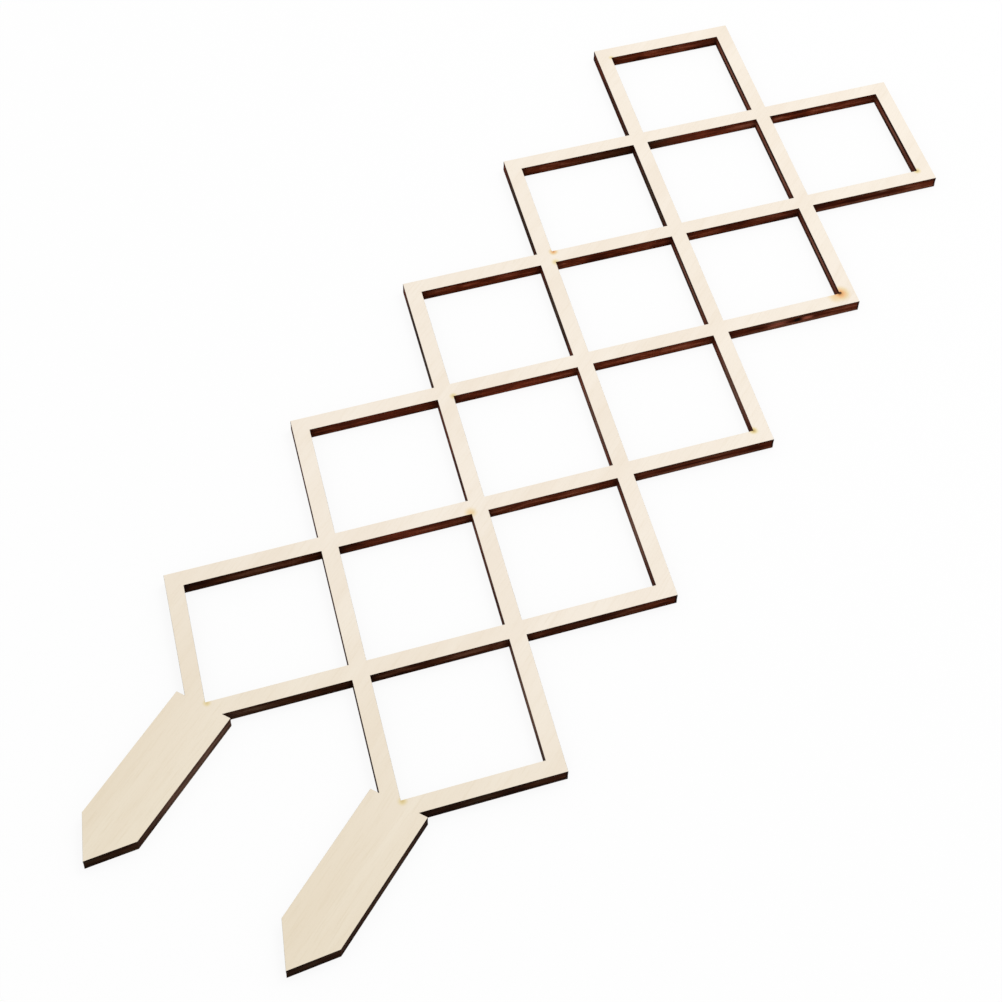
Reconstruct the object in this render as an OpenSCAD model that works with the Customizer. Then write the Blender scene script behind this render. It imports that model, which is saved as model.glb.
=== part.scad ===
// Plant trellis panel: a lattice of diamonds on two pointed stakes, laser-cut in one
// outline from a sheet of three-ply plywood. The panel lies on its back face.
// X runs across the panel, Y runs up it from the stake tips to the top, Z is its thickness.

/* [Lattice] */
// Width of a diamond, between the centres of its two side crossings
diamond_w = 47.4; // [30:0.1:80]
// Height of a diamond, between the centres of its top and bottom crossings
diamond_h = 51.4; // [30:0.1:80]
// Width of a lattice bar across its face
bar_w = 3.9; // [2:0.1:8]
// Number of diamonds in each side column, one more than in the middle column
side_diamonds = 5; // [2:1:8]

/* [Stakes] */
// Width of a stake
stake_w = 13.5; // [9:0.1:20]
// Length of a stake's straight sides
stake_side = 33.3; // [20:0.1:80]
// Length of a stake's point
stake_point = 9; // [4:0.1:20]
// Height of a stake's top edge above the bottom crossing that it is cut on
stake_rise = 2.2; // [0:0.1:2.6]

/* [Plywood] */
// Thickness of the front and back veneers
face_t = 0.9; // [0.5:0.05:2]
// Thickness of the core veneer
core_t = 1; // [0.5:0.05:3]
// Thickness of each glue line
glue_t = 0.1; // [0.05:0.05:0.3]

/* [Hidden] */

// Slope of the bars, and how far half a bar's width moves a diamond's corners
bar_angle = atan2(diamond_h, diamond_w);
corner_x = bar_w / 2 / sin(bar_angle);
corner_y = bar_w / 2 / cos(bar_angle);

// Height of the whole panel, with the origin halfway up it
stake_drop = stake_side + stake_point - stake_rise;
panel_h = stake_drop + side_diamonds * diamond_h + corner_y;
bottom_crossing_y = stake_drop - panel_h / 2;

// Bottoms of the layers above the back face
back_glue_z = face_t;
core_z = back_glue_z + glue_t;
front_glue_z = core_z + core_t;
front_z = front_glue_z + glue_t;

// The side columns stand either side of the middle line, and the crossings step up it in rows
sides = [-1, 1];
function row_y(row) = bottom_crossing_y + row * diamond_h;

// Centres of the diamonds: the middle column sits half a diamond higher, between the side columns
side_places = [
    for (side = sides, row = [0 : side_diamonds - 1]) [side * diamond_w / 2, row_y(row + 1 / 2)]
];
middle_places = [for (row = [1 : side_diamonds - 1]) [0, row_y(row)]];

// The lattice's zigzag right edge from bottom to top: a corner and a notch for each diamond
right_rim = [
    [diamond_w / 2, bottom_crossing_y - corner_y],
    for (row = [0 : side_diamonds - 1]) each [
        [diamond_w + corner_x, row_y(row + 1 / 2)],
        row < side_diamonds - 1
            ? [diamond_w / 2 + corner_x, row_y(row + 1)]
            : [diamond_w / 2, row_y(row + 1) + corner_y]
    ]
];
left_rim = [for (i = [len(right_rim) - 1 : -1 : 0]) [-right_rim[i].x, right_rim[i].y]];

// The lattice's whole edge, with a notch in the middle at the bottom and at the top
bottom_notch = [0, row_y(1 / 2) - corner_y];
top_notch = [0, row_y(side_diamonds - 1 / 2) + corner_y];
lattice_rim = concat([bottom_notch], right_rim, [top_notch], left_rim);

// The opening of one diamond, inside its bars
module opening() {
    half_w = diamond_w / 2 - corner_x;
    half_h = diamond_h / 2 - corner_y;
    polygon([[half_w, 0], [0, half_h], [-half_w, 0], [0, -half_h]]);
}

// One stake, placed by the crossing that it is cut on
module stake() {
    shoulder_y = stake_rise - stake_side;
    polygon([
        [-stake_w / 2, stake_rise],
        [-stake_w / 2, shoulder_y],
        [0, -stake_drop],
        [stake_w / 2, shoulder_y],
        [stake_w / 2, stake_rise]
    ]);
}

// The laser's cutting line: the lattice and stakes, less the openings of the diamonds
module panel_outline() {
    difference() {
        union() {
            polygon(lattice_rim);
            for (side = sides) translate([side * diamond_w / 2, bottom_crossing_y]) stake();
        }
        for (place = concat(side_places, middle_places)) translate(place) opening();
    }
}

// One layer of the sheet, cut to the panel's outline
module layer(bottom_z, thickness) {
    translate([0, 0, bottom_z]) linear_extrude(thickness) panel_outline();
}

// Front veneer of pale basswood, with its grain up the panel
module front_veneer() {
    color("#EFE4D6") layer(front_z, face_t);
}

// Glue line between the front veneer and the core, scorched dark at the cut
module front_glue_line() {
    color("#2A1008") layer(front_glue_z, glue_t);
}

// Core veneer, with its grain across the panel
module core_veneer() {
    color("#4A1A12") layer(core_z, core_t);
}

// Glue line between the core and the back veneer, scorched dark at the cut
module back_glue_line() {
    color("#2A1008") layer(back_glue_z, glue_t);
}

// Back veneer of pale basswood, with its grain up the panel
module back_veneer() {
    color("#E9DCC8") layer(0, face_t);
}

front_veneer();
front_glue_line();
core_veneer();
back_glue_line();
back_veneer();
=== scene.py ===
import math

import bmesh
import bpy
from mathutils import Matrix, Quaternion, Vector


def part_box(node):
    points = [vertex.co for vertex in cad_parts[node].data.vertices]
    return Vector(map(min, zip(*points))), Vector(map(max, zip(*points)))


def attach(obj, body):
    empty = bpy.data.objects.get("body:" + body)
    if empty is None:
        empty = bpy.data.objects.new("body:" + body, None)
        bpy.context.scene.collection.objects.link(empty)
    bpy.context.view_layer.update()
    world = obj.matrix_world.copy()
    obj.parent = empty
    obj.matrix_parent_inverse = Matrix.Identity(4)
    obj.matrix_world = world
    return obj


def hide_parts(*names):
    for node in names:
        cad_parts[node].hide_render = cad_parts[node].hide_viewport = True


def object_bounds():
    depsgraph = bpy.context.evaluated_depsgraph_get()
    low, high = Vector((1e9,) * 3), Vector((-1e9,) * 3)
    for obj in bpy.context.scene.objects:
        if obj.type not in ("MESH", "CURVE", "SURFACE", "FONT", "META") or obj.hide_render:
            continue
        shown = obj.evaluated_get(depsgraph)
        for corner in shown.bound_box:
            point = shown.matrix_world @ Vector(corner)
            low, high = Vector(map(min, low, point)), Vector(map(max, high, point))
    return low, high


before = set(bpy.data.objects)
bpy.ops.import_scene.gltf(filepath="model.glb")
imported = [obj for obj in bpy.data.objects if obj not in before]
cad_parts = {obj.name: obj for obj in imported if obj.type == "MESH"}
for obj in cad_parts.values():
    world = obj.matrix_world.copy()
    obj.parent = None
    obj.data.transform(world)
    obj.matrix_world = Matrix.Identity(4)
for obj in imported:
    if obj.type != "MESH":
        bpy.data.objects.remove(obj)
cad_low, cad_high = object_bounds()

# Front veneer
# The face of the sheet: pale basswood, peeled from the log, sanded smooth and left bare.
# A laser cuts the lattice with its two stakes out of the pressed sheet, and chars the walls of the cut.
MM = 0.001
TOAST_W = 0.9 * MM
EASED_EDGE = 0.06 * MM

# Sizes that place the burn marks: half of the sheet's thickness, the diamonds' pitch, half of the opening in
# each, the height of the lowest one's centre and of the stakes' tips, and how far from the middle line the
# inner crossings end and the outermost corners begin
HALF_SHEET = 1.5 * MM
DIAMOND_W = 47.4 * MM
DIAMOND_H = 51.4 * MM
OPENING_HALF_W = 21.05 * MM
OPENING_HALF_H = 22.82 * MM
LOWEST_CENTRE_Y = -84.19 * MM
STAKE_TIP_Y = -150 * MM
CROSSINGS_END = 45 * MM
OUTER_CORNERS_BEGIN = 49.6 * MM
LEFT, MIDDLE, RIGHT = -1, 0, 1


def linear(colour):
    """A hex sRGB colour as the linear values that a socket takes."""
    shares = [int(colour[i:i + 2], 16) / 255 for i in (1, 3, 5)]
    return [s / 12.92 if s <= 0.04045 else ((s + 0.055) / 1.055) ** 2.4 for s in shares] + [1.0]


def add(tree, kind, inputs, **settings):
    """Adds a node with its settings. Each input takes a value, or a link from another node's output."""
    made = tree.nodes.new("ShaderNode" + kind)
    for setting, value in settings.items():
        setattr(made, setting, value)
    for socket, value in inputs.items():
        if isinstance(value, bpy.types.NodeSocket):
            tree.links.new(value, made.inputs[socket])
        else:
            made.inputs[socket].default_value = value
    return made


# Sockets of a Mix node: its share, the two numbers or the two colours that it mixes, and the mixed colour
SHARE, FIRST, SECOND, UNDER, OVER, MIXED = 0, 2, 3, 6, 7, 2

# How far along Z the normal of a flat face points, and that of a facet that goes with the face, not the wall
FLAT = 0.99
FACE_SIDE = 0.6


def cut_layer(node, drawn_in):
    """A CAD layer's outline, drawn in by a hair where it burned back, and raised to the layer's thickness."""
    low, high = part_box(node)
    layer = bmesh.new()
    layer.from_mesh(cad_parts[node].data)
    bmesh.ops.remove_doubles(layer, verts=layer.verts[:], dist=0.001 * MM)
    not_bottom = [face for face in layer.faces if face.normal.z > -FLAT]
    bmesh.ops.delete(layer, geom=not_bottom, context="FACES")
    bmesh.ops.dissolve_limit(layer, angle_limit=0.01, verts=layer.verts[:], edges=layer.edges[:])
    if drawn_in > 0:
        burned = bmesh.ops.inset_region(
            layer, faces=layer.faces[:], thickness=drawn_in, use_boundary=True, use_even_offset=True
        )
        bmesh.ops.delete(layer, geom=burned["faces"], context="FACES")
    raised = bmesh.ops.extrude_face_region(layer, geom=layer.faces[:], use_keep_orig=True)
    upper = [part for part in raised["geom"] if isinstance(part, bmesh.types.BMVert)]
    bmesh.ops.translate(layer, verts=upper, vec=(0, 0, high.z - low.z))
    bmesh.ops.recalc_face_normals(layer, faces=layer.faces[:])
    return layer


def ease_outer_edge(layer, side, strip_w):
    """Marks the strip beside the cut on the layer's outer face (side 1 is up), and eases the sharp edge."""
    outer = [face for face in layer.faces if face.normal.z * side > FLAT]
    bmesh.ops.inset_region(layer, faces=outer, thickness=strip_w, use_boundary=True, use_even_offset=True)
    rim = [
        edge for edge in layer.edges
        if sorted(round(face.normal.z * side) for face in edge.link_faces) == [0, 1]
    ]
    bmesh.ops.bevel(
        layer, geom=rim, offset=EASED_EDGE, affect="EDGES", segments=2, profile=0.5, material=-1
    )
    near_cut = layer.verts.layers.float.new("near_cut")
    for vert in layer.verts:
        inside = all(face.normal.z * side > FLAT for face in vert.link_faces)
        vert[near_cut] = 0.0 if inside else 1.0
    for face in layer.faces:
        face.material_index = 0 if face.normal.z * side > FACE_SIDE else 1


def finish_piece(name, layer, materials, node):
    """Makes the piece from its mesh, and puts it in the place of its CAD node."""
    mesh = bpy.data.meshes.new(name)
    layer.to_mesh(mesh)
    layer.free()
    for material in materials:
        mesh.materials.append(material)
    piece = bpy.data.objects.new(name, mesh)
    bpy.context.scene.collection.objects.link(piece)
    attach(piece, "root")
    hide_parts(node)


def at_opening(column, number, across, up):
    """A place at an opening, in shares of its half width and half height from its centre."""
    # The middle column sits half a diamond higher than the others
    rows = number - 1 + (0.5 if column == MIDDLE else 0)
    x = column * DIAMOND_W / 2 + across * OPENING_HALF_W
    y = LOWEST_CENTRE_Y + rows * DIAMOND_H + up * OPENING_HALF_H
    return x, y


def soft_marks(tree, place, marks):
    """The strongest of several soft round marks at each place. A mark is a middle, a reach and a strength."""
    level = add(tree, "VectorMath", {0: place, 1: (1, 1, 0)}, operation="MULTIPLY")
    strongest = 0.0
    for (x, y), reach, strength in marks:
        gap = add(tree, "VectorMath", {0: level.outputs[0], 1: (x, y, 0)}, operation="DISTANCE")
        mark = add(
            tree, "MapRange",
            {"Value": gap.outputs["Value"], "From Min": reach, "From Max": 0, "To Max": strength},
            interpolation_type="SMOOTHSTEP",
        )
        strongest = add(
            tree, "Math", {0: mark.outputs[0], 1: strongest}, operation="MAXIMUM"
        ).outputs[0]
    return strongest


def bare_basswood(name, pale, deep, fleck, warm, toast, toast_share, stains):
    """Sanded basswood veneer: an even, pale, matt face with soft broad bands and fine short grain lines."""
    material = bpy.data.materials.new(name)
    material.use_nodes = True
    tree = material.node_tree
    shader = tree.nodes["Principled BSDF"]
    place = add(tree, "TexCoord", {}).outputs["Object"]

    # Growth bands about 7 mm wide run up the panel, as peeled veneer shows them
    bands_at = add(tree, "Mapping", {"Vector": place, "Scale": (1 / (7 * MM), 1 / (110 * MM), 1 / (7 * MM))})
    bands = add(tree, "TexNoise", {"Vector": bands_at.outputs[0], "Scale": 1, "Detail": 2, "Distortion": 0.4})
    band_share = add(tree, "MapRange", {"Value": bands.outputs[0], "From Min": 0.35, "From Max": 0.7})
    wood = add(
        tree, "Mix", {SHARE: band_share.outputs[0], UNDER: linear(pale), OVER: linear(deep)}, data_type="RGBA"
    )

    # Grain lines about 0.35 mm wide and 7 mm long, a little coarser than the real fibres so that they show
    grain_at = add(
        tree, "Mapping", {"Vector": place, "Scale": (1 / (0.35 * MM), 1 / (7 * MM), 1 / (0.35 * MM))}
    )
    grain = add(tree, "TexNoise", {"Vector": grain_at.outputs[0], "Scale": 1, "Detail": 2, "Roughness": 0.6})
    grain_share = add(
        tree, "MapRange", {"Value": grain.outputs[0], "From Min": 0.5, "From Max": 0.8, "To Max": 0.4}
    )
    grained = add(
        tree, "Mix", {SHARE: grain_share.outputs[0], UNDER: wood.outputs[MIXED], OVER: linear(fleck)},
        data_type="RGBA",
    )

    # The sheet turns warmer and deeper towards the stakes
    height = add(tree, "SeparateXYZ", {"Vector": place}).outputs["Y"]
    low_share = add(
        tree, "MapRange",
        {"Value": height, "From Min": -40 * MM, "From Max": STAKE_TIP_Y},
        interpolation_type="SMOOTHSTEP",
    )
    warmed = add(
        tree, "Mix", {SHARE: low_share.outputs[0], UNDER: grained.outputs[MIXED], OVER: linear(warm)},
        data_type="RGBA", blend_type="MULTIPLY",
    )

    # The laser's smoke and heat tint a narrow strip beside the cut
    near_cut = add(tree, "Attribute", {}, attribute_name="near_cut").outputs["Fac"]
    uneven_at = add(tree, "TexNoise", {"Vector": place, "Scale": 1 / (6 * MM), "Detail": 2})
    uneven = add(
        tree, "MapRange",
        {"Value": uneven_at.outputs[0], "From Min": 0.35, "From Max": 0.7, "To Max": toast_share},
    )
    falling = add(tree, "Math", {0: near_cut, 1: 1.5}, operation="POWER")
    toasted = add(tree, "Math", {0: falling.outputs[0], 1: uneven.outputs[0]}, operation="MULTIPLY")
    colour = add(
        tree, "Mix", {SHARE: toasted.outputs[0], UNDER: warmed.outputs[MIXED], OVER: linear(toast)},
        data_type="RGBA",
    )

    # Stains spread with ragged edges from the corners where the laser paused
    ragged = add(tree, "TexNoise", {"Vector": place, "Scale": 1 / (1.2 * MM), "Detail": 2})
    ragged_share = add(
        tree, "MapRange", {"Value": ragged.outputs[0], "From Min": 0.3, "From Max": 0.7, "To Min": 0.85}
    )
    for marks, tints in stains:
        strongest = soft_marks(tree, place, marks)
        heat = add(tree, "Math", {0: strongest, 1: ragged_share.outputs[0]}, operation="MULTIPLY")
        tint = add(tree, "ValToRGB", {"Fac": heat.outputs[0]})
        tint.color_ramp.elements[0].color = linear("#FFFFFF")
        tint.color_ramp.elements[1].color = linear(tints[-1][1])
        for heat_share, tint_colour in tints[:-1]:
            tint.color_ramp.elements.new(heat_share).color = linear(tint_colour)
        colour = add(
            tree, "Mix", {SHARE: 1, UNDER: colour.outputs[MIXED], OVER: tint.outputs[0]},
            data_type="RGBA", blend_type="MULTIPLY",
        )

    # Sanding leaves the grain lines just proud and a little rougher than the wood between them
    roughness = add(
        tree, "MapRange",
        {"Value": grain.outputs[0], "From Min": 0.3, "From Max": 0.7, "To Min": 0.58, "To Max": 0.7},
    )
    relief = add(tree, "Bump", {"Height": grain.outputs[0], "Strength": 0.25, "Distance": 0.03 * MM})
    tree.links.new(colour.outputs[MIXED], shader.inputs["Base Color"])
    tree.links.new(roughness.outputs[0], shader.inputs["Roughness"])
    tree.links.new(relief.outputs[0], shader.inputs["Normal"])
    shader.inputs["IOR"].default_value = 1.5
    shader.inputs["Specular IOR Level"].default_value = 0.2
    return material


# Tints that multiply the char: one blackens it and takes out its red, the other only darkens it
BLACKER = "#8CC4D0"
DARKER = "#606060"


def charred_cut(name, black, brown, rosy, stretches):
    """A laser-cut wall of veneer: matt red-brown char in patches and streaks, with fine upright ridges."""
    material = bpy.data.materials.new(name)
    material.use_nodes = True
    tree = material.node_tree
    shader = tree.nodes["Principled BSDF"]
    place = add(tree, "TexCoord", {}).outputs["Object"]

    # Patches about 12 mm long and streaks about 5 mm long, where the char is blacker, browner or rosier
    patch_at = add(tree, "Mapping", {"Vector": place, "Scale": (1 / (12 * MM), 1 / (12 * MM), 1 / (3 * MM))})
    patches = add(
        tree, "TexNoise", {"Vector": patch_at.outputs[0], "Scale": 1, "Detail": 3, "Roughness": 0.6}
    )
    streak_at = add(tree, "Mapping", {"Vector": place, "Scale": (1 / (5 * MM), 1 / (5 * MM), 1 / (0.5 * MM))})
    streaks = add(
        tree, "TexNoise", {"Vector": streak_at.outputs[0], "Scale": 1, "Detail": 4, "Roughness": 0.7}
    )
    char = add(tree, "Mix", {SHARE: 0.5, FIRST: patches.outputs[0], SECOND: streaks.outputs[0]})
    tones = add(tree, "ValToRGB", {"Fac": char.outputs[0]})
    tones.color_ramp.elements[0].position = 0.4
    tones.color_ramp.elements[0].color = linear(black)
    tones.color_ramp.elements[1].position = 0.62
    tones.color_ramp.elements[1].color = linear(rosy)
    tones.color_ramp.elements.new(0.52).color = linear(brown)

    # The char is blacker and less red down towards the stakes
    axes = add(tree, "SeparateXYZ", {"Vector": place})
    low_share = add(
        tree, "MapRange",
        {"Value": axes.outputs["Y"], "From Min": 30 * MM, "From Max": -120 * MM},
        interpolation_type="SMOOTHSTEP",
    )
    lower = add(
        tree, "Mix", {SHARE: low_share.outputs[0], UNDER: tones.outputs[0], OVER: linear(BLACKER)},
        data_type="RGBA", blend_type="MULTIPLY",
    )

    # It is blackest along the sheet's two faces, where the beam went in and came out
    off_middle = add(tree, "Math", {0: axes.outputs["Z"], 1: HALF_SHEET}, operation="SUBTRACT")
    depth = add(tree, "Math", {0: off_middle.outputs[0]}, operation="ABSOLUTE")
    edge_share = add(
        tree, "MapRange",
        {"Value": depth.outputs[0], "From Min": 0.7 * MM, "From Max": HALF_SHEET, "To Max": 0.7},
    )

    # It is black too in the inner corners of each crossing and on the panel's outermost corners, where the
    # beam slowed to turn. In the inner corners this darkening is partly char and partly painted shade.
    from_rows = add(
        tree, "VectorMath", {0: place, 1: (DIAMOND_W / 2, LOWEST_CENTRE_Y + DIAMOND_H / 2, 0)},
        operation="SUBTRACT",
    )
    to_crossing = DIAMOND_W
    for shift in (0, 0.5):
        nearest = add(
            tree, "VectorMath",
            {
                0: from_rows.outputs[0],
                1: ((0.5 + shift) * DIAMOND_W, (0.5 + shift) * DIAMOND_H, 1),
                2: ((shift - 0.5) * DIAMOND_W, (shift - 0.5) * DIAMOND_H, -1),
            },
            operation="WRAP",
        )
        centred = add(
            tree, "VectorMath", {0: nearest.outputs[0], 1: (shift * DIAMOND_W, shift * DIAMOND_H, 0)},
            operation="SUBTRACT",
        )
        flat = add(tree, "VectorMath", {0: centred.outputs[0], 1: (1, 1, 0)}, operation="MULTIPLY")
        distance = add(tree, "VectorMath", {0: flat.outputs[0]}, operation="LENGTH")
        to_crossing = add(
            tree, "Math", {0: distance.outputs["Value"], 1: to_crossing}, operation="MINIMUM"
        ).outputs[0]
    # Partly char and partly painted shade in the inner corners of the openings
    near_corner = add(
        tree, "MapRange",
        {"Value": to_crossing, "From Min": 4.4 * MM, "From Max": 2.8 * MM, "To Max": 0.5},
        interpolation_type="SMOOTHSTEP",
    )
    from_middle = add(tree, "Math", {0: axes.outputs["X"]}, operation="ABSOLUTE")
    inside = add(tree, "Math", {0: from_middle.outputs[0], 1: CROSSINGS_END}, operation="LESS_THAN")
    corner_char_and_shade = add(
        tree, "Math", {0: near_corner.outputs[0], 1: inside.outputs[0]}, operation="MULTIPLY"
    )
    outermost_share = add(
        tree, "MapRange",
        {
            "Value": from_middle.outputs[0], "To Max": 0.9,
            "From Min": OUTER_CORNERS_BEGIN, "From Max": OUTER_CORNERS_BEGIN + 0.2 * MM,
        },
    )
    turned_char_and_corner_shade = add(
        tree, "Math", {0: corner_char_and_shade.outputs[0], 1: outermost_share.outputs[0]}, operation="MAXIMUM"
    )
    char_and_corner_shade_share = add(
        tree, "Math", {0: edge_share.outputs[0], 1: turned_char_and_corner_shade.outputs[0]}, operation="MAXIMUM"
    )
    toned = add(
        tree, "Mix", {SHARE: char_and_corner_shade_share.outputs[0], UNDER: lower.outputs[MIXED], OVER: linear(DARKER)},
        data_type="RGBA", blend_type="MULTIPLY",
    )

    # Some stretches are burned black, others only lightly, in an uneven way
    mottled = add(
        tree, "MapRange", {"Value": char.outputs[0], "From Min": 0.42, "From Max": 0.58, "To Min": 0.5}
    )
    for marks, depths, blend, tint in stretches:
        strongest = soft_marks(tree, place, marks)
        spotty = add(tree, "Math", {0: strongest, 1: mottled.outputs[0]}, operation="MULTIPLY")
        reached = add(
            tree, "MapRange", {"Value": depth.outputs[0], "From Min": depths[0], "From Max": depths[1]}
        )
        share = add(tree, "Math", {0: spotty.outputs[0], 1: reached.outputs[0]}, operation="MULTIPLY")
        toned = add(
            tree, "Mix", {SHARE: share.outputs[0], UNDER: toned.outputs[MIXED], OVER: linear(tint)},
            data_type="RGBA", blend_type=blend,
        )

    # Ridges about 0.25 mm apart stand upright on every wall, because the pattern doesn't change with height
    ridge_at = add(tree, "Mapping", {"Vector": place, "Scale": (1 / (0.25 * MM), 1 / (0.25 * MM), 0)})
    ridges = add(tree, "TexNoise", {"Vector": ridge_at.outputs[0], "Scale": 1, "Detail": 1})
    relief = add(tree, "Bump", {"Height": ridges.outputs[0], "Strength": 0.6, "Distance": 0.05 * MM})
    # The hollows between the ridges are painted darker towards black, as painted shade
    ridge_hollow_shade = add(
        tree, "MapRange", {"Value": ridges.outputs[0], "From Min": 0.5, "From Max": 0.25, "To Max": 0.4}
    )
    colour = add(
        tree, "Mix", {SHARE: ridge_hollow_shade.outputs[0], UNDER: toned.outputs[MIXED], OVER: linear(black)},
        data_type="RGBA",
    )
    tree.links.new(colour.outputs[MIXED], shader.inputs["Base Color"])
    tree.links.new(relief.outputs[0], shader.inputs["Normal"])
    shader.inputs["Roughness"].default_value = 0.65
    shader.inputs["Specular IOR Level"].default_value = 0.012
    return material


# Corners of the openings where the laser paused: how far the heat reached, and how much it marked the wood.
# The hottest are scorched amber with a brown middle, one of them black at the corner itself. The tints go by
# the heat.
SCORCHES = [
    (at_opening(RIGHT, 4, 1, 0), 3.2 * MM, 1.0),
    (at_opening(RIGHT, 4, 1, 0.01), 1.4 * MM, 1.2),
    (at_opening(RIGHT, 4, 0.98, -0.07), 2.6 * MM, 0.5),
    (at_opening(LEFT, 4, 0.02, -1), 1.5 * MM, 1.0),
    (at_opening(MIDDLE, 1, -0.02, 1.01), 2.0 * MM, 0.5),
]
AMBER = [(0.35, "#F8ECCC"), (0.75, "#F8CA98"), (0.87, "#E4B47E"), (0.95, "#9A6C3A"), (1, "#4A2610")]

# Others are only stained olive yellow by the wood's resin
RESIN_SPOTS = [
    (at_opening(MIDDLE, 3, -1, 0), 1.5 * MM, 0.65),
    (at_opening(RIGHT, 3, 1, 0), 1.5 * MM, 1.0),
    (at_opening(RIGHT, 1, 0.02, -1), 1.4 * MM, 0.65),
    (at_opening(RIGHT, 5, 1, 0), 1.4 * MM, 0.8),
    (at_opening(MIDDLE, 2, -1, 0), 1.3 * MM, 0.7),
    (at_opening(LEFT, 1, 0.02, -1), 1.2 * MM, 0.65),
    (at_opening(LEFT, 5, -1, 0), 1.1 * MM, 0.6),
]
OLIVE = [(0.4, "#F8F2D2"), (0.8, "#DDCC92"), (1, "#8A7840")]

# Stretches of the cut that stand out. Each goes with two distances from the middle of the sheet, where it has
# faded out and where it is full. Those that go all through the sheet fade outside it.
ALL_THROUGH = (HALF_SHEET + 0.2 * MM, HALF_SHEET + 0.1 * MM)

# Some are burned black: walls of four openings, parts of both outer edges, and the points of the stakes
RIGHT_EDGE = [at_opening(RIGHT, row, 0.7, -0.65) for row in (1, 2, 3, 4, 5)]
BLACKENED = [
    (at_opening(LEFT, 3, 0.5, 0.5), 18 * MM, 2.0),
    (at_opening(LEFT, 4, 0.6, 0.4), 18 * MM, 2.0),
    (at_opening(LEFT, 4, 0, 1), 34 * MM, 1.1),
    (at_opening(MIDDLE, 3, 0.5, 0.5), 18 * MM, 1.6),
    (at_opening(RIGHT, 4, -0.5, 0.5), 16 * MM, 0.4),
]
BLACKENED += [
    (at_opening(LEFT, number, -0.6, -0.6), 22 * MM, strength)
    for number, strength in [(3, 2.5), (4, 2.5), (5, 0.9)]
]
BLACKENED += [(middle, 20 * MM, 0.6) for middle in RIGHT_EDGE[:2]]
BLACKENED += [((side * DIAMOND_W / 2, STAKE_TIP_Y), 16 * MM, 0.6) for side in (LEFT, RIGHT)]

# Others are burned lightly: the upper left walls of some openings to a redder brown, and the upper right
# walls of some and the left stake's inner side to a greyer one. On those upper right walls the lighter tint
# is partly painted light, as if they were lit more from the left.
REDDENED = [
    (at_opening(column, number, -0.5, 0.5), 16 * MM, 0.5)
    for column, number in [(LEFT, 2), (MIDDLE, 1), (MIDDLE, 2), (MIDDLE, 4)]
]
STAKE_INNER_SIDE = (-17 * MM, -122 * MM)
LIGHT_BURN_AND_PAINTED_LIGHT = [
    (at_opening(column, number, 0.5, 0.5), 16 * MM, strength)
    for column, number, strength in [
        (MIDDLE, 2, 1.0), (RIGHT, 1, 0.7), (RIGHT, 2, 0.9), (RIGHT, 3, 1.1),
    ]
]
LIGHT_BURN_AND_PAINTED_LIGHT += [(STAKE_INNER_SIDE, 24 * MM, 0.8)]

# The upper right walls of some openings higher up have a paler core between blackened veneers.
# The paler core is partly painted light, as if these walls were lit more from the left.
PALE_CORE_AND_PAINTED_LIGHT = [
    (at_opening(column, number, 0.5, 0.5), 20 * MM, strength)
    for column, number, strength in [
        (LEFT, 5, 1.6), (MIDDLE, 3, 1.0), (MIDDLE, 4, 1.6), (RIGHT, 4, 1.5), (RIGHT, 5, 1.4),
    ]
]

# The front veneer is browned high up the right edge, with two light patches, one of them below a knot
BELOW_KNOT = (35 * MM, 54 * MM)
BROWNED = [(middle, 30 * MM, 0.8) for middle in RIGHT_EDGE[2:]]
LIGHT_PATCHES = [((39.9 * MM, 110.4 * MM), 2 * MM, 1.0), (BELOW_KNOT, 4 * MM, 0.9)]

front_wood = bare_basswood(
    "bare_sanded_basswood", pale="#F8EEE0", deep="#F4E8D8", fleck="#EADCC6", warm="#F6F4EB",
    toast="#E8CFA6", toast_share=0.06, stains=[(SCORCHES, AMBER), (RESIN_SPOTS, OLIVE)],
)
RED_BROWN = "#7C3420"
front_char = charred_cut(
    "charred_front_veneer", black="#340F05", brown="#5E2410", rosy="#7E402B",
    stretches=[
        (BLACKENED + PALE_CORE_AND_PAINTED_LIGHT, ALL_THROUGH, "MULTIPLY", BLACKER),
        (BROWNED, ALL_THROUGH, "MIX", "#3C2416"),
        (REDDENED, ALL_THROUGH, "MIX", RED_BROWN),
        # On some upper right walls this lighter tint is partly painted light
        (LIGHT_BURN_AND_PAINTED_LIGHT + LIGHT_PATCHES, ALL_THROUGH, "MIX", "#6C4C3C"),
    ],
)
front = cut_layer("front_veneer", 0)
ease_outer_edge(front, 1, TOAST_W)
finish_piece("front_face_veneer", front, [front_wood, front_char], "front_veneer")

# Front glue line
# A thin line of hot-pressed glue that bonds the front veneer to the core over their whole area.
# It burns back a little at the cut, where it shows as a fine dark line.
GLUE_BURNED_BACK = 0.05 * MM
glue_char = charred_cut(
    "scorched_glue", black="#1C0803", brown="#3A160A", rosy="#4C2415",
    stretches=[(BLACKENED, ALL_THROUGH, "MULTIPLY", BLACKER)],
)
front_glue = cut_layer("front_glue_line", GLUE_BURNED_BACK)
finish_piece("front_glue", front_glue, [glue_char], "front_glue_line")

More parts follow.
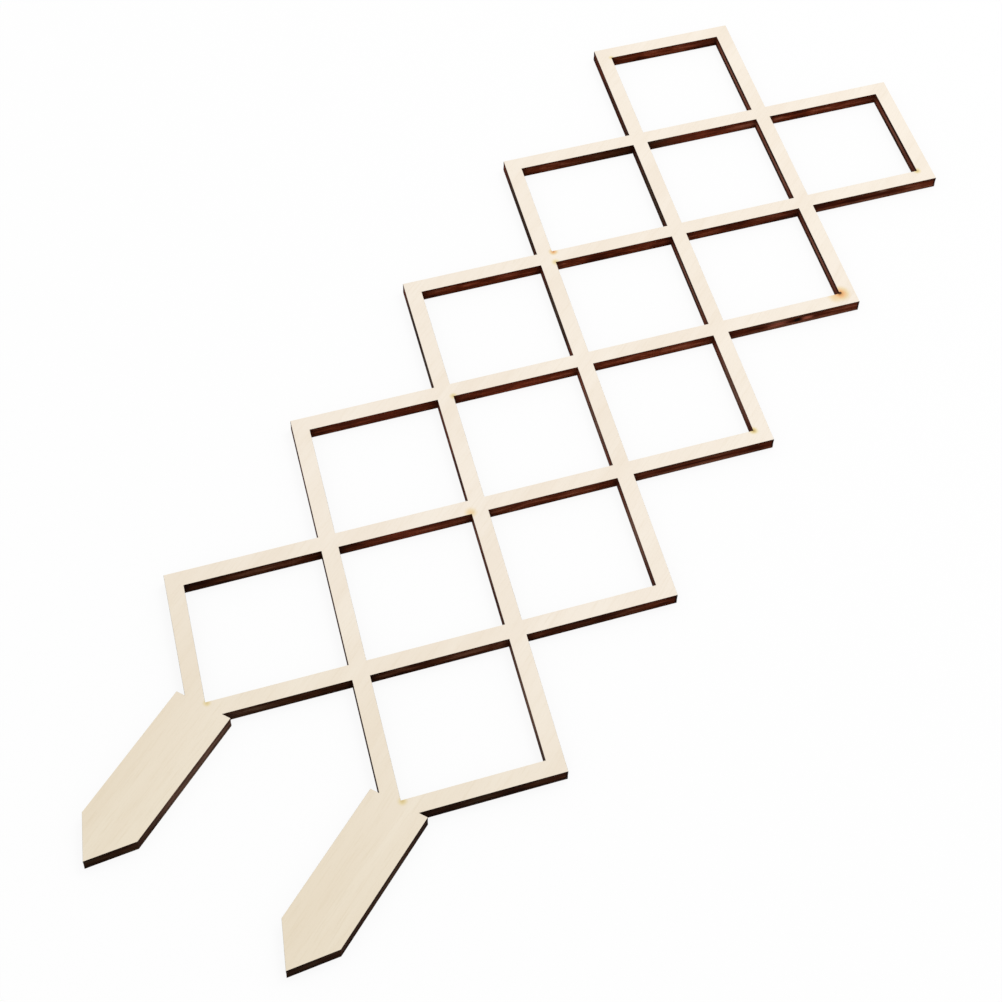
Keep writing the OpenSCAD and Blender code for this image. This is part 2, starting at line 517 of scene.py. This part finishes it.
# Core veneer
# The middle ply, pressed between the faces with its grain across the panel, so the cut shows end grain here.
# It is charred a lighter, rosier brown, with a black line and a small knot high up the right edge.
CORE_BURNED_BACK = 0.02 * MM
SEARED = [(middle, 30 * MM, 1.2) for middle in RIGHT_EDGE[2:]]
MIDDLE_LINE = (0.5 * MM, 0.1 * MM)
BESIDE_KNOT = [((40.7 * MM, 59.8 * MM), 2.2 * MM, 1.2), (BELOW_KNOT, 4 * MM, 0.8)]
KNOT = [((38.9 * MM, 57.9 * MM), 1.5 * MM, 2.0)]
core_char = charred_cut(
    "charred_core_veneer", black="#3A1206", brown="#682A14", rosy="#8A4C36",
    stretches=[
        (BLACKENED, ALL_THROUGH, "MULTIPLY", BLACKER),
        (SEARED, MIDDLE_LINE, "MULTIPLY", DARKER),
        (REDDENED, ALL_THROUGH, "MIX", "#843A26"),
        # On some upper right walls this lighter tint is partly painted light
        (LIGHT_BURN_AND_PAINTED_LIGHT, ALL_THROUGH, "MIX", "#785A4C"),
        # The paler core on these upper right walls is partly painted light
        (PALE_CORE_AND_PAINTED_LIGHT, ALL_THROUGH, "MIX", "#7D4E3E"),
        (BESIDE_KNOT, ALL_THROUGH, "MIX", "#A05844"),
        (KNOT, ALL_THROUGH, "MIX", "#0C0503"),
    ],
)
core = cut_layer("core_veneer", CORE_BURNED_BACK)
finish_piece("core_ply", core, [core_char], "core_veneer")

# Back glue line
# The same hot-pressed glue, which bonds the core to the back veneer.
# It burns back to the same fine dark line.
back_glue = cut_layer("back_glue_line", GLUE_BURNED_BACK)
finish_piece("back_glue", back_glue, [glue_char], "back_glue_line")

# Back veneer
# The sheet's other face, of the same basswood, which lay on the laser's bed.
# Smoke trapped under the sheet stains it along the cut lines, and its cut is rosier high up the right edge.
SMOKE_W = 1.3 * MM
back_wood = bare_basswood(
    "smoked_sanded_basswood", pale="#F3E7D6", deep="#ECDDC7", fleck="#E0CDB0", warm="#F6F4EB",
    toast="#B98650", toast_share=0.9, stains=[],
)
ROSY_EDGE = [(middle, 30 * MM, 0.8) for middle in RIGHT_EDGE[2:]]
back_char = charred_cut(
    "charred_back_veneer", black="#340F05", brown="#602611", rosy="#80422B",
    stretches=[
        (BLACKENED + PALE_CORE_AND_PAINTED_LIGHT, ALL_THROUGH, "MULTIPLY", BLACKER),
        (REDDENED, ALL_THROUGH, "MIX", RED_BROWN),
        # On some upper right walls this lighter tint is partly painted light
        (LIGHT_BURN_AND_PAINTED_LIGHT, ALL_THROUGH, "MIX", "#634A3A"),
        (ROSY_EDGE, ALL_THROUGH, "MIX", "#6E4634"),
    ],
)
back = cut_layer("back_veneer", 0)
ease_outer_edge(back, -1, SMOKE_W)
finish_piece("back_face_veneer", back, [back_wood, back_char], "back_veneer")

# Floor
# A plain sweep of white paper under the panel. It shows white to the camera, and takes the panel's soft
# shadow, which fades out well away from the panel so that the sweep has no visible end.
FLOOR_HALF = 2.0
FLOOR_GAP = 0.1 * MM
SHADE_KEPT = 0.1
SHADE_FADES = (0.2, 0.6)
floor_mesh = bpy.data.meshes.new("floor")
floor_grid = bmesh.new()
bmesh.ops.create_grid(floor_grid, x_segments=1, y_segments=1, size=FLOOR_HALF)
bmesh.ops.translate(floor_grid, verts=floor_grid.verts[:], vec=(0, 0, cad_low.z - FLOOR_GAP))
floor_grid.to_mesh(floor_mesh)
floor_grid.free()
floor = bpy.data.objects.new("floor", floor_mesh)
bpy.context.scene.collection.objects.link(floor)


def background_rays(tree):
    """Picks the rays that show the ground itself: those from the camera, off gloss and through glass."""
    rays = add(tree, "LightPath", {}).outputs
    seen = add(tree, "Math", {0: rays["Is Camera Ray"], 1: rays["Is Glossy Ray"]}, operation="MAXIMUM")
    return add(
        tree, "Math", {0: seen.outputs[0], 1: rays["Is Transmission Ray"]}, operation="MAXIMUM"
    ).outputs[0]


white_floor = bpy.data.materials.new("white_floor")
white_floor.use_nodes = True
tree = white_floor.node_tree
tree.nodes.remove(tree.nodes["Principled BSDF"])
place = add(tree, "TexCoord", {}).outputs["Object"]
away = add(tree, "VectorMath", {0: place}, operation="LENGTH")
bright = add(
    tree, "MapRange",
    {
        "Value": away.outputs["Value"], "From Min": SHADE_FADES[0], "From Max": SHADE_FADES[1],
        "To Min": 1 - SHADE_KEPT, "To Max": 1,
    },
    interpolation_type="SMOOTHSTEP",
)
glow_share = add(tree, "Math", {0: background_rays(tree), 1: bright.outputs[0]}, operation="MULTIPLY")
paper = add(tree, "BsdfDiffuse", {"Color": linear("#FAFAFA")})
glow = add(tree, "Emission", {"Color": linear("#FFFFFF"), "Strength": 1})
both = add(tree, "MixShader", {0: glow_share.outputs[0], 1: paper.outputs[0], 2: glow.outputs[0]})
tree.links.new(both.outputs[0], tree.nodes["Material Output"].inputs["Surface"])
floor_mesh.materials.append(white_floor)

# Studio light
# Even white light from all round, as in a tent of white cloth.
# One softbox hangs above the top of the panel, and leaves the stakes a little dimmer.
ROOM_LIGHT = 0.78
SOFTBOX_W = 0.5
SOFTBOX_POWER = 2.7
SOFTBOX_PLACE = Vector((0.15, 0.50, 0.90))
SOFTBOX_AIM = Vector((0, 0.02, 0))
world = bpy.data.worlds.new("white_studio")
world.use_nodes = True
bpy.context.scene.world = world
tree = world.node_tree
room = tree.nodes["Background"]
room.inputs["Color"].default_value = linear("#FFFFFF")
room.inputs["Strength"].default_value = ROOM_LIGHT
backdrop = add(tree, "Background", {"Color": linear("#FFFFFF"), "Strength": 1})
both = add(tree, "MixShader", {0: background_rays(tree), 1: room.outputs[0], 2: backdrop.outputs[0]})
tree.links.new(both.outputs[0], tree.nodes["World Output"].inputs["Surface"])

softbox_light = bpy.data.lights.new("softbox", "AREA")
softbox_light.shape = "DISK"
softbox_light.size = SOFTBOX_W
softbox_light.energy = SOFTBOX_POWER
softbox = bpy.data.objects.new("softbox", softbox_light)
softbox.location = SOFTBOX_PLACE
softbox.rotation_mode = "QUATERNION"
softbox.rotation_quaternion = (SOFTBOX_AIM - SOFTBOX_PLACE).to_track_quat("-Z", "Y")
bpy.context.scene.collection.objects.link(softbox)

# Camera
# It looks down on the panel from beyond its lower right.
# Its place, roll and lens were fitted to the corners of the lattice in the photograph.
CAMERA_PLACE = Vector((136.576, -287.066, 367.151)) * MM
CAMERA_AIM = Vector((3.894, -29.142, 3.0)) * MM
CAMERA_ROLL = math.radians(2.137)
SENSOR_W_MM = 36
LENS_MM = 74.03
lens = bpy.data.cameras.new("camera")
lens.sensor_width = SENSOR_W_MM
lens.lens = LENS_MM
camera = bpy.data.objects.new("camera", lens)
camera.location = CAMERA_PLACE
camera.rotation_mode = "QUATERNION"
aimed = (CAMERA_AIM - CAMERA_PLACE).to_track_quat("-Z", "Y")
camera.rotation_quaternion = aimed @ Quaternion((0, 0, 1), CAMERA_ROLL)
bpy.context.scene.collection.objects.link(camera)
bpy.context.scene.camera = camera
bpy.context.scene.view_settings.view_transform = "Standard"
